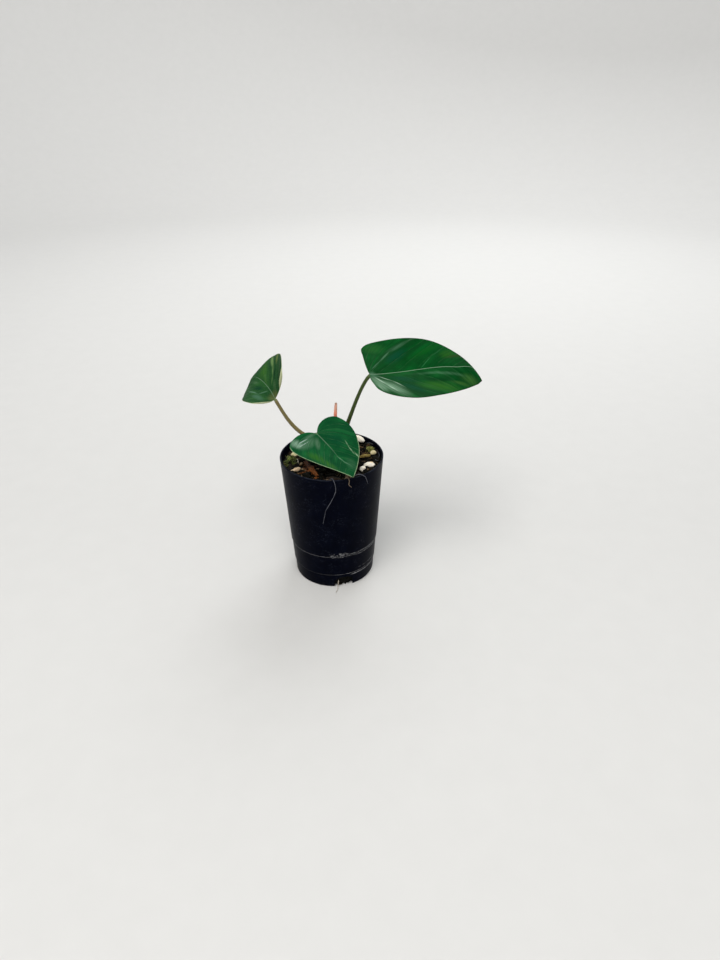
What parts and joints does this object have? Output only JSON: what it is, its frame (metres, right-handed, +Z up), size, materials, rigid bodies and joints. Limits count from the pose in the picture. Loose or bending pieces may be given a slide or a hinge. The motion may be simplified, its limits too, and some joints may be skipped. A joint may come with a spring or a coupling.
{
  "type": "potted philodendron nangaritense",
  "caption": "Young potted philodendron: heart-shaped green leaves on thin stalks and a rolled pink new leaf, in bark mix in a tall round black nursery pot.",
  "frame": {"origin": "centre of the pot's underside, on the surface that the pot stands on", "axes": "+Z up, +X to the right and -Y towards the viewer in the reference picture"},
  "size_m": [0.1746, 0.1012, 0.1691],
  "materials": {
    "pot_plastic": "satin",
    "potting_mix": "matte",
    "stalk": "satin",
    "leaf": "satin",
    "new_leaf": "satin",
    "dry_sheath": "matte",
    "perlite": "matte",
    "cream_chip": "matte",
    "rust_bark": "matte",
    "brown_bark": "matte",
    "moss": "matte",
    "root": "matte"
  },
  "bodies": {
    "root": {"pot": "pot_plastic", "potting_mix": "potting_mix", "stem": "stalk", "leaf_stalk_right": "stalk", "leaf_stalk_left": "stalk", "leaf_stalk_front": "stalk", "leaf_blade_right": "leaf", "leaf_blade_left": "leaf", "leaf_blade_front": "leaf", "new_leaf": "new_leaf", "sheath": "dry_sheath", "perlite_right_oval": "perlite", "perlite_right_round": "perlite", "perlite_back": "perlite", "pebble_right_cream": "cream_chip", "chip_left_beige": "cream_chip", "chip_left_cream": "cream_chip", "bark_strip": "rust_bark", "bark_right": "brown_bark", "bark_front": "brown_bark", "bark_back": "brown_bark", "bark_back_right": "brown_bark", "moss_right": "moss", "moss_left": "moss", "root_thread_long": "root", "root_thread_short": "root", "root_curl": "root", "root_notch": "root"}
  },
  "joints": []
}
